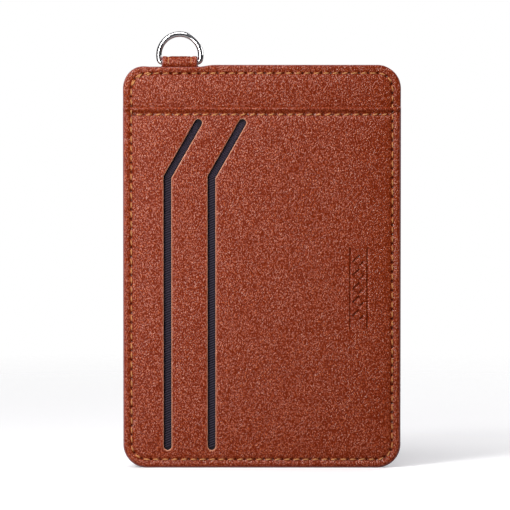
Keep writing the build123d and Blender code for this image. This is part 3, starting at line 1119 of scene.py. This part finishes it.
# ---- seams and ribs --------------------------------------------------------------------
def seam_tree():
    """Geometry Nodes that set a stitch or a rib at equal steps along a line."""
    tree = bpy.data.node_groups.get("set_along_line")
    if tree:
        return tree
    tree = bpy.data.node_groups.new("set_along_line", "GeometryNodeTree")
    for name, kind, way in (
        ("Line", "Geometry", "INPUT"), ("Stitch", "Object", "INPUT"), ("Count", "Int", "INPUT"),
        ("Slant", "Float", "INPUT"), ("Wander", "Float", "INPUT"), ("Follow", "Float", "INPUT"),
        ("Seed", "Int", "INPUT"), ("Material", "Material", "INPUT"), ("Pieces", "Geometry", "OUTPUT"),
    ):
        tree.interface.new_socket(name=name, in_out=way, socket_type="NodeSocket" + kind)

    def add(kind, values=None, **settings):
        node = tree.nodes.new(kind)
        for key, value in settings.items():
            setattr(node, key, value)
        for key, value in (values or {}).items():
            if isinstance(value, bpy.types.NodeSocket):
                tree.links.new(value, node.inputs[key])
            else:
                node.inputs[key].default_value = value
        return node

    given = add("NodeGroupInput").outputs
    curve = add("GeometryNodeMeshToCurve", {"Mesh": given["Line"]})
    even = add("GeometryNodeResampleCurve", {"Curve": curve.outputs[0], "Count": given["Count"]})
    rise = add("GeometryNodeInputNamedAttribute", {"Name": "rise"}, data_type="FLOAT")
    lift = add("ShaderNodeCombineXYZ", {"Y": rise.outputs["Attribute"]})
    placed = add("GeometryNodeSetPosition", {"Geometry": even.outputs[0], "Offset": lift.outputs[0]})
    run = add("GeometryNodeInputTangent")
    ahead = add(
        "FunctionNodeAlignRotationToVector", {"Factor": given["Follow"], "Vector": run.outputs[0]}, axis="X"
    )
    flat = add(
        "FunctionNodeAlignRotationToVector",
        {"Rotation": ahead.outputs[0], "Factor": given["Follow"], "Vector": (0.0, 1.0, 0.0)},
        axis="Y", pivot_axis="X",
    )
    less = add("ShaderNodeMath", {0: given["Wander"], 1: -1.0}, operation="MULTIPLY")
    turn = add(
        "FunctionNodeRandomValue", {2: less.outputs[0], 3: given["Wander"], "Seed": given["Seed"]},
        data_type="FLOAT",
    )
    whole = add("ShaderNodeMath", {0: turn.outputs[1], 1: given["Slant"]}, operation="SUBTRACT")
    angle = add("ShaderNodeCombineXYZ", {"Y": whole.outputs[0]})
    spin = add("FunctionNodeEulerToRotation", {0: angle.outputs[0]})
    turned = add(
        "FunctionNodeRotateRotation", {0: flat.outputs[0], 1: spin.outputs[0]}, rotation_space="LOCAL"
    )
    size = add("FunctionNodeRandomValue", {2: 0.93, 3: 1.05, "Seed": 17}, data_type="FLOAT")
    stretch = add("ShaderNodeCombineXYZ", {"X": size.outputs[1], "Y": 1.0, "Z": 1.0})
    stitch = add("GeometryNodeObjectInfo", {"Object": given["Stitch"]}, transform_space="ORIGINAL")
    many = add("GeometryNodeInstanceOnPoints", {
        "Points": placed.outputs[0], "Instance": stitch.outputs["Geometry"],
        "Rotation": turned.outputs[0], "Scale": stretch.outputs[0],
    })
    real = add("GeometryNodeRealizeInstances", {"Geometry": many.outputs[0]})
    painted = add("GeometryNodeSetMaterial", {"Geometry": real.outputs[0], "Material": given["Material"]})
    add("NodeGroupOutput", {"Pieces": painted.outputs[0]})
    return tree


def set_along(name, line, rise, closed, template, material, **values):
    """A plain mesh of one template repeated along a line; rise is the line's Y in millimetres."""
    mesh = bpy.data.meshes.new(name)
    count = len(line)
    corners = np.column_stack([line[:, 0], np.zeros(count), line[:, 1]]) * MM
    edges = [(k, (k + 1) % count) for k in range(count if closed else count - 1)]
    mesh.from_pydata(corners.tolist(), edges, [])
    piece = bpy.data.objects.new(name, mesh)
    bpy.context.scene.collection.objects.link(piece)
    mark(piece, "rise", np.asarray(rise) * MM)
    tree = seam_tree()
    maker = piece.modifiers.new("set_along_line", "NODES")
    maker.node_group = tree
    given = {"Stitch": template, "Material": material, "Seed": 3, "Slant": 0.0, "Follow": 1.0, **values}
    for socket in tree.interface.items_tree:
        if socket.in_out == "INPUT" and socket.name in given:
            maker[socket.identifier] = given[socket.name]
    bpy.context.view_layer.update()
    seen = piece.evaluated_get(bpy.context.evaluated_depsgraph_get())
    made = bpy.data.meshes.new_from_object(seen)
    piece.modifiers.clear()
    piece.data = made
    made.name = name
    return piece


def stitch_template(side, stitch, thickness, proud, plies=0.17):
    """One stitch along X: arched, its ends sunk in their holes, twisted from two plies."""
    ends = np.linspace(-1, 1, 9)
    path = []
    for t in ends:
        height = proud - (proud + 0.42) * abs(t) ** 4.5
        path.append(np.array((t * stitch / 2, side * height, 0.0)))

    def section(k):
        thin = 1 - 0.3 * abs(ends[k]) ** 3
        return (
            np.array((0.0, 0.0, 1.0)), np.array((0.0, side, 0.0)),
            thickness / 2 * thin, thickness / 2 * 0.86 * thin, plies, ends[k] * 2.3,
        )

    return tube_mesh("stitch_template", path, 8, section, finish_named("thread"), False)


def seam_height(x, z, relief_low, relief_high):
    """Height of the leather under a seam: the pocket panel below the mouth, the band above it."""
    low = POCKET_FACE + relief_low(x, z)
    high = BODY_FACE + relief_high(x, z)
    share = smooth_step((z - MOUTH + 0.55) / 1.5)
    return low * (1 - share) + high * share


def sewn(name, node, side, seam, closed, slant, proud, relief_low, relief_high=None, share=1.0, wander=0.05):
    """One seam: stitches between the needle holes of a line.

    Slant and share say how much of the settings' slant and stitch length these stitches have.
    """
    count = stitch_count(seam, closed)
    total = arc_length(seam, closed)[-1]
    pitch = total / count
    if closed:
        distances = (np.arange(count * 4) / 4 + 0.5) * pitch % total
    else:
        distances = (np.arange((count - 1) * 4 + 1) / 4 + 0.5) * pitch
    line = along(seam, distances, closed)
    if relief_high:
        height = seam_height(line[:, 0], line[:, 1], relief_low, relief_high)
    else:
        height = POCKET_FACE + relief_low(line[:, 0], line[:, 1])
    stitch = setting("thread", "stitch") * share
    template = stitch_template(side, stitch, setting("thread", "thickness"), proud)
    piece = set_along(
        name, line, side * height, closed, template, finish_named("thread"),
        Count=count, Slant=setting_value("thread", "slant") * slant, Wander=wander,
    )
    bpy.data.objects.remove(template)
    return settle(piece, "tan_thread", *([node] if node else []))


BACKSTITCH_SHIFT = 0.34  # the doubled stitches at the corner lie this far inside the seam


class HOLDER_OT_seams(bpy.types.Operator):
    """Sews the perimeter, both pocket mouths and the window"""

    bl_idname = "holder.seams"
    bl_label = "Seams"

    def execute(self, context):
        edge, mouth, window = perimeter_seam(), mouth_seam(), window_seam()
        both = (pocket_relief, band_relief)
        sewn("perimeter_stitches_front", "perimeter_needle_thread", FRONT, edge, True, 0.3, 0.10, *both)
        sewn("perimeter_stitches_back", "perimeter_bobbin_thread", BACK, edge, True, -0.3, 0.06, *both)
        corner = outline_loop(setting("thread", "inset") + BACKSTITCH_SHIFT, 0.4)
        corner = corner[(corner[:, 0] < 5.0 - HALF_WIDTH * 0.9) & (corner[:, 1] > TOP - 6.5)]
        sewn("backstitches_front", None, FRONT, corner, False, 1.6, 0.16, *both, share=0.9, wander=0.16)
        sewn("mouth_stitches_front", "front_mouth_thread", FRONT, mouth, False, 1.0, 0.12, pocket_relief)
        sewn("mouth_stitches_back", "back_mouth_thread", BACK, mouth, False, -0.4, 0.06, pocket_relief)
        sewn("window_stitches", "window_thread", BACK, window, True, 0.5, 0.10, window_relief)
        return {"FINISHED"}


def rib_template(side):
    """One rib of the twill: a low three-sided ridge that slants up to the right."""
    reach, half = 1.62, setting("cloth", "rib") * 0.30
    lean = math.radians(22)
    along_rib = np.array((math.cos(lean), 0.0, math.sin(lean)))
    across = np.array((-math.sin(lean), 0.0, math.cos(lean)))
    rings = []
    for t in np.linspace(-1, 1, 5):
        middle = along_rib * t * reach / math.cos(lean)
        for a in (0.0, 0.25, 0.5, 0.75, 1.0):
            swing = math.pi * a
            out = side * (RIB_ROOM - 0.015) * math.sin(swing) * (1 - 0.08 * math.sin(9 * t))
            rings.append(middle + across * half * math.cos(swing) + np.array((0.0, out, 0.0)))
    return outward(mesh_object("rib_template", rings, ring_faces(5, 5, False), finish_named("twill")))


class HOLDER_OT_twill_ribs(bpy.types.Operator):
    """Lays the twill's ribs where the linings show through the slots"""

    bl_idname = "holder.twill_ribs"
    bl_label = "Twill ribs"

    def execute(self, context):
        for index, node in ((0, "slot_divider_inner"), (1, "slot_divider_outer")):
            low, _ = box_mm(node)
            line = subdivided(slot_path(index), 0.5, closed=False)
            total = arc_length(line, False)[-1]
            template = rib_template(FRONT)
            rise = np.full(len(line), low[1] + RIB_ROOM - 0.005)
            count = round(total / setting("cloth", "rib")) + 1
            piece = set_along(
                "slot_ribs_%d" % (index + 1), line, rise, False, template, finish_named("twill"),
                Count=count, Follow=0.0, Wander=0.02,
            )
            bpy.data.objects.remove(template)
            # Marks the ribs, which the twill paints lighter as their lit tops.
            mark(piece, "on_rib", np.ones(len(piece.data.vertices)))
            settle(piece, "lining_twill")
        return {"FINISHED"}


# ---- ring and tab ----------------------------------------------------------------------
def ring_line(step):
    """Middle of the ring's wire in the (x, z) plane, as a closed line."""
    wire = RING_HIGH[1] - RING_LOW[1]
    radius = (RING_HIGH[0] - RING_LOW[0] - wire) / 2
    bow_height = RING_HIGH[2] - wire / 2 - radius
    corner = setting("ring", "corner")
    corner_height = BAR_HEIGHT + corner
    bar_half = math.sqrt((radius - corner) ** 2 - (bow_height - corner_height) ** 2)
    lean = math.atan2(corner_height - bow_height, bar_half)
    points = arc((RING_X + bar_half, corner_height), corner, -math.pi / 2, lean, step * 0.5)
    points += arc((RING_X, bow_height), radius, lean, math.pi - lean, step)[1:]
    left = (RING_X - bar_half, corner_height)
    points += arc(left, corner, math.pi - lean, math.pi * 1.5, step * 0.5)[1:]
    return subdivided(points, step)


class HOLDER_OT_ring(bpy.types.Operator):
    """Makes the chrome D ring"""

    bl_idname = "holder.ring"
    bl_label = "D ring"

    def execute(self, context):
        line = ring_line(0.3)
        half = (RING_HIGH[1] - RING_LOW[1]) / 2
        run = np.roll(line, -1, axis=0) - np.roll(line, 1, axis=0)
        run /= np.hypot(*run.T)[:, None]
        path = [np.array((x, 0.0, z)) for x, z in line]

        def section(k):
            normal = np.array((-run[k][1], 0.0, run[k][0]))
            return normal, np.array((0.0, 1.0, 0.0)), half, half, 0.0, 0.0

        piece = tube_mesh("d_ring_wire", path, 28, section, finish_named("chrome"), True)
        settle(piece, "ring_chrome", "d_ring", body="ring")
        return {"FINISHED"}


def bend(start, first, second, end, count):
    """Points of a smooth bend between two points, pulled by two more."""
    t = np.linspace(0, 1, count)[:, None]
    s = 1 - t
    return s**3 * start + 3 * s**2 * t * first + 3 * s * t**2 * second + t**3 * end


def tab_line():
    """Middle of the tab's leather in the (y, z) plane, from one leg over the bar to the other."""
    loop = (TAB_HIGH[1] + 0.88) / 2
    leg = 0.27
    low = TAB_LOW[2] + 0.05
    turn = math.radians(-34)
    meet = np.array((loop * math.cos(turn), BAR_HEIGHT + loop * math.sin(turn)))
    ahead = np.array((math.sin(-turn), math.cos(turn)))
    start = np.array((leg, BAR_HEIGHT - 2.6))
    curve = bend(start, start + (0, 0.9), meet - ahead * 0.7, meet, 10)
    side = np.vstack([np.linspace((leg, low), start, 9)[:-1], curve[:-1]])
    turns = np.linspace(turn, math.pi - turn, 30)
    over = np.column_stack([loop * np.cos(turns), BAR_HEIGHT + loop * np.sin(turns)])
    return np.vstack([side, over, (side * (-1, 1))[::-1]])


class HOLDER_OT_ring_tab(bpy.types.Operator):
    """Makes the leather tab over the ring's bar, and its two rows of thread"""

    bl_idname = "holder.ring_tab"
    bl_label = "Ring tab"

    def execute(self, context):
        line = tab_line()
        run = np.gradient(line, axis=0)
        run /= np.hypot(*run.T)[:, None]
        out = np.column_stack([run[:, 1], -run[:, 0]])
        above = smooth_step((line[:, 1] - BAR_HEIGHT + 2.4) / 1.6)
        thick = 0.5 + 0.3 * above
        half = (TAB_HIGH[0] - TAB_LOW[0]) / 2 + 0.12
        wide = 1 + 0.06 * smooth_step((BAR_HEIGHT - 0.7 - line[:, 1]) / 0.7)
        across = np.linspace(-half + 0.2, half - 0.2, 25)
        rim = np.array([(0.0, 0.05), (0.09, 0.2), (0.17, 0.5), (0.09, 0.8), (0.0, 0.95)])
        vertices, edge = [], []
        for k, (y, z) in enumerate(line):
            wave = 0.028 * np.sin(across * 2.3 + 3 * math.sin(k * 0.9))
            wave += 0.022 * np.sin(across * 5.1 - k * 0.63)
            pressed = 0.22 * sum(bell(across - offset, 0.3) for offset in (-TACK, TACK))
            outer = [(x, 1.0 + (w - p) * above[k] / thick[k]) for x, w, p in zip(across, wave, pressed)]
            ring = outer + [(half - 0.2 + r * 1.1, 1 - h) for r, h in rim]
            ring += [(x, 0.0) for x in across[::-1]] + [(-half + 0.2 - r * 1.1, h) for r, h in rim]
            for x, h in ring:
                at = np.array((y, z)) + out[k] * (h - 0.5) * thick[k]
                vertices.append((RING_X + x * wide[k], at[0], at[1]))
                edge.append(bell(max(half - 0.02 - abs(x), 0), 0.3))
        faces = ring_faces(len(line), len(vertices) // len(line), False)
        piece = mesh_object("ring_tab_leather", vertices, faces, finish_named("leather"))
        mark(piece, "painted_edge", edge)
        mark(piece, "raw_edge", np.zeros(len(edge)))
        settle(outward(piece), "brown_leather", "ring_tab")
        loop = TAB_HIGH[1] - 0.22
        thickness = 0.27
        for index, offset in enumerate((-TACK, TACK)):
            turns = np.linspace(math.radians(-24), math.radians(204), 26)
            path = np.column_stack([
                np.full(26, RING_X + offset), loop * np.cos(turns), BAR_HEIGHT + loop * np.sin(turns)
            ])

            def section(k):
                a = turns[k]
                thin = 1 - 0.3 * abs(k / 12.5 - 1) ** 6
                return (np.array((1.0, 0, 0)), np.array((0, math.cos(a), math.sin(a))),
                        thickness / 2 * thin, thickness / 2 * 0.8 * thin, 0.15, k * 0.75)

            name = "tab_stitch_%d" % (index + 1)
            piece = tube_mesh(name, path, 10, section, finish_named("thread"), False)
            settle(piece, "tan_thread", *(["tab_thread"] if index == 0 else []))
        return {"FINISHED"}


TACK = 3.25  # each row of the tab's thread from its middle


# ---- window ----------------------------------------------------------------------------
class HOLDER_OT_window_film(bpy.types.Operator):
    """Makes the clear film behind the ID window, slightly wavy"""

    bl_idname = "holder.window_film"
    bl_label = "Window film"

    def execute(self, context):
        low, high = box_mm("window_pane")
        window_low, window_high, _ = window_corners(6.0)
        x = np.linspace(max(low[0] + 0.6, window_low[0]), min(high[0] - 0.6, window_high[0]), 33)
        z = np.linspace(max(low[2] + 0.6, window_low[1]), high[2] - 0.3, 45)
        across, up = np.meshgrid(x, z)
        wave = 0.022 * np.sin(across * 0.31 + 0.8 * np.sin(up * 0.12))
        wave += 0.018 * np.sin(up * 0.23 + across * 0.05)
        vertices, count = [], across.size
        for depth in (high[1] - 0.05, high[1] - 0.17):
            vertices += list(zip(across.ravel(), (depth + wave).ravel(), up.ravel()))
        faces = []
        rows, columns = across.shape
        for k in range(rows - 1):
            for j in range(columns - 1):
                a = k * columns + j
                faces.append((a, a + 1, a + columns + 1, a + columns))
                faces.append((count + a, count + a + columns, count + a + columns + 1, count + a + 1))
        rim = list(range(columns)) + [k * columns + columns - 1 for k in range(1, rows)]
        rim += [(rows - 1) * columns + j for j in range(columns - 2, -1, -1)]
        rim += [k * columns for k in range(rows - 2, 0, -1)]
        for k, a in enumerate(rim):
            b = rim[(k + 1) % len(rim)]
            faces.append((a, count + a, count + b, b))
        piece = outward(mesh_object("window_film_sheet", vertices, faces, finish_named("film")))
        settle(piece, "window_film", "window_pane")
        return {"FINISHED"}


# ---- stage -----------------------------------------------------------------------------
def softbox(name, place, width, height, power):
    """An area light aimed at the holder, which the camera doesn't see."""
    light = bpy.data.lights.new(name, "AREA")
    light.shape, light.size, light.size_y = "RECTANGLE", width, height
    light.energy, light.color = power, (1.0, 0.985, 0.965)
    lamp = bpy.data.objects.new(name, light)
    lamp.location = place
    ray = Vector((-0.005, 0, 0.062)) - Vector(place)
    lamp.rotation_euler = ray.to_track_quat("-Z", "Y").to_euler()
    lamp.visible_camera = False
    bpy.context.scene.collection.objects.link(lamp)
    return lamp


def studio_world():
    """White to the camera, softer and darker towards the floor for the light that it gives."""
    world = bpy.data.worlds.new("studio")
    world.use_nodes = True
    tree = world.node_tree
    tree.nodes.clear()
    output = tree.nodes.new("ShaderNodeOutputWorld")
    seen, given, mix = (tree.nodes.new(kind) for kind in (
        "ShaderNodeBackground", "ShaderNodeBackground", "ShaderNodeMixShader"))
    path = tree.nodes.new("ShaderNodeLightPath")
    seen.inputs["Color"].default_value = (1.0, 1.0, 1.0, 1.0)
    place = tree.nodes.new("ShaderNodeTexCoord")
    split = tree.nodes.new("ShaderNodeSeparateXYZ")
    ramp = tree.nodes.new("ShaderNodeMapRange")
    tree.links.new(place.outputs["Generated"], split.inputs[0])
    tree.links.new(split.outputs["Z"], ramp.inputs["Value"])
    for socket, value in (("From Min", -0.1), ("From Max", 0.9), ("To Min", 0.04), ("To Max", 0.22)):
        ramp.inputs[socket].default_value = value
    given.inputs["Color"].default_value = (0.97, 0.98, 1.0, 1.0)
    tree.links.new(ramp.outputs["Result"], given.inputs["Strength"])
    tree.links.new(path.outputs["Is Camera Ray"], mix.inputs[0])
    tree.links.new(given.outputs[0], mix.inputs[1])
    tree.links.new(seen.outputs[0], mix.inputs[2])
    tree.links.new(mix.outputs[0], output.inputs[0])
    bpy.context.scene.world = world


class HOLDER_OT_stage(bpy.types.Operator):
    """Sets the floor, the studio light and the camera"""

    bl_idname = "holder.stage"
    bl_label = "Stage"

    def execute(self, context):
        scene = context.scene
        scene.view_settings.view_transform = "Standard"
        n = Nodes("pale_floor")
        reach = n.add("ShaderNodeVectorMath", {0: n.place}, operation="LENGTH").outputs["Value"]
        n.shade(Base_Color=(0.93, 0.93, 0.95, 1.0), Roughness=0.42, Specular_IOR_Level=0.3)
        n.shade(Emission_Color=(0.94, 0.94, 1.0, 1.0), Emission_Strength=0.24)
        seen = n.add("ShaderNodeLightPath").outputs["Is Camera Ray"]
        held = n.spread(seen, 0.0, 1.0, 0.2, 1.0)  # gives little light back to the holder
        n.shade(Alpha=n.math("MULTIPLY", held, n.spread(reach, 0.05, 0.46, 1.0, 0.0)))
        square = np.array([(-1, -1, 0), (1, -1, 0), (1, 1, 0), (-1, 1, 0)]) * 3000.0
        floor = mesh_object("floor", square, [(0, 1, 2, 3)], n.material)
        floor.data.transform(floor.matrix_world)
        studio_world()
        for name, place, width, height, power in (
            ("key_softbox", (-0.42, -0.46, 0.58), 0.14, 0.14, 2.2),
            ("near_softbox", (-0.115, -0.19, 0.11), 0.06, 0.24, 0.50),
            ("top_softbox", (-0.10, -0.30, 0.68), 0.50, 0.22, 2.2),
            ("back_softbox", (0.45, 0.75, 0.62), 0.5, 0.5, 4.2),
            ("side_softbox", (0.75, 0.10, 0.28), 0.3, 0.3, 1.2),
        ):
            softbox(name, place, width, height, power)
        aim = Vector((setting_value("stage", "aim_x"), 0.0, setting("stage", "aim_z") * MM))
        far = setting("stage", "distance") * MM
        lift = setting_value("stage", "elevation")
        lens = bpy.data.cameras.new("camera")
        lens.sensor_width = 36.0
        lens.lens = 36.0 * far / (setting("stage", "width") * MM)
        lens.clip_start, lens.clip_end = 0.01, 50.0
        camera = bpy.data.objects.new("camera", lens)
        camera.location = aim + Vector((0.0, -math.cos(lift), math.sin(lift))) * far
        camera.rotation_euler = (aim - camera.location).to_track_quat("-Z", "Y").to_euler()
        scene.collection.objects.link(camera)
        scene.camera = camera
        return {"FINISHED"}


OPERATORS = (
    HOLDER_OT_stage, HOLDER_OT_front_pocket, HOLDER_OT_back_pocket, HOLDER_OT_body_panels,
    HOLDER_OT_inner_layers, HOLDER_OT_painted_edges, HOLDER_OT_seams, HOLDER_OT_twill_ribs,
    HOLDER_OT_ring, HOLDER_OT_ring_tab, HOLDER_OT_window_film,
)


class HOLDER_PT_sidebar(bpy.types.Panel):
    """The card holder's pieces, in the order in which they are made"""

    bl_idname = "HOLDER_PT_sidebar"
    bl_label = "Card holder"
    bl_space_type = "VIEW_3D"
    bl_region_type = "UI"
    bl_category = "Card holder"

    def draw(self, context):
        for operator in OPERATORS:
            self.layout.operator(operator.bl_idname)


def register():
    """Registers the settings, the operators and the panel."""
    for kind in (*SETTINGS.values(), *OPERATORS, HOLDER_PT_sidebar):
        bpy.utils.register_class(kind)
    for name, kind in SETTINGS.items():
        setattr(bpy.types.Scene, name, bpy.props.PointerProperty(type=kind))


def unregister():
    """Takes them away again."""
    for name in SETTINGS:
        delattr(bpy.types.Scene, name)
    for kind in reversed((*SETTINGS.values(), *OPERATORS, HOLDER_PT_sidebar)):
        bpy.utils.unregister_class(kind)


def main():
    """Registers the sidebar and makes every piece and the stage."""
    register()
    for operator in OPERATORS:
        group, name = operator.bl_idname.split(".")
        getattr(getattr(bpy.ops, group), name)()


if __name__ == "__main__":
    main()
